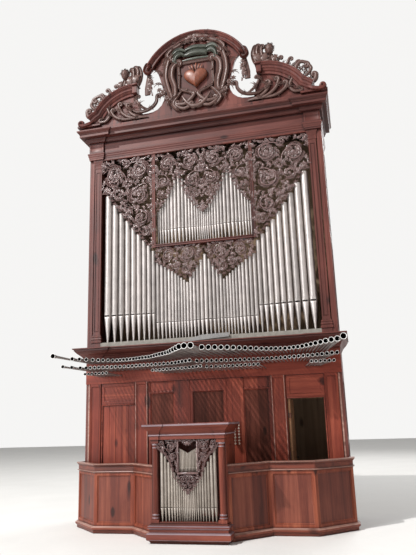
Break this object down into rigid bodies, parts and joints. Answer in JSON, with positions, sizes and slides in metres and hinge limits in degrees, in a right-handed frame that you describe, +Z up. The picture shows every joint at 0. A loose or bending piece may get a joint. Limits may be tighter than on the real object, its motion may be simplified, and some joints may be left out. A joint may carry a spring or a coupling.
{
  "type": "pipe organ",
  "caption": "Baroque pipe organ on a gallery, with a flat pipe front, a carved and arched pediment, rows of horizontal trumpets, a canted parapet and a small chair case.",
  "frame": {"origin": "on the underside of the gallery, on the centre line, in the plane of the main case's lower pilaster fronts", "axes": "+X runs along the front to the viewer's right, +Y runs back from the front into the building, +Z is up"},
  "size_m": [5.235, 3.012, 9.75],
  "materials": {
    "case_wood": "dark red-brown stained wood with a soft sheen",
    "carved_wood": "darker varnished carving, glossy on the high parts",
    "parapet_wood": "red-brown stained panels",
    "door_wood": "pale tan wood on the open leaf",
    "inside_wood": "plain dark boards",
    "pipe_metal": "dull grey tin with a soft vertical shine",
    "trumpet_metal": "grey metal with pale rims",
    "toe_paint": "pale grey-green matt paint",
    "ivory": "off-white keys and knobs"
  },
  "bodies": {
    "organ": {"gallery_floor": "inside_wood", "gallery_base_moulding": "parapet_wood", "end_panels": "parapet_wood", "front_panels": "parapet_wood", "canted_panels": "parapet_wood", "gallery_rail": "parapet_wood", "chair_plinth": "parapet_wood", "chair_walls": "parapet_wood", "chair_columns": "parapet_wood", "chair_pipes": "pipe_metal", "chair_carving": "carved_wood", "chair_cornice": "parapet_wood", "case_side_left": "case_wood", "case_side_right": "case_wood", "case_back": "inside_wood", "case_roof": "inside_wood", "lower_pilasters": "case_wood", "closed_door": "case_wood", "front_left_wall": "case_wood", "front_right_wall": "case_wood", "keydesk_head": "case_wood", "door_heads": "case_wood", "key_desk": "carved_wood", "manuals": "ivory", "stop_knobs": "ivory", "trumpet_board": "case_wood", "impost": "case_wood", "toe_board": "toe_paint", "upper_pilasters": "case_wood", "upper_stiles": "case_wood", "upper_shelf": "case_wood", "pipes_left": "pipe_metal", "pipes_centre": "pipe_metal", "pipes_right": "pipe_metal", "pipes_upper": "pipe_metal", "shades_side": "carved_wood", "shades_centre": "carved_wood", "entablature": "case_wood", "cornice": "case_wood", "pediment_base": "case_wood", "pediment_hood": "case_wood", "cartouche": "carved_wood", "half_pediments": "case_wood", "cherub_heads": "carved_wood", "hood_drops": "carved_wood", "trumpets_top": "trumpet_metal", "trumpets_middle": "trumpet_metal", "trumpets_bottom": "trumpet_metal"},
    "door": {"door_leaf": "door_wood"}
  },
  "joints": [
    {"name": "door_hinge", "type": "hinge", "parent": "organ", "child": "door", "pos_m": [1.434, 0.07, 1.17], "axis": [0, 0, -1], "range_deg": [0, 90]}
  ]
}
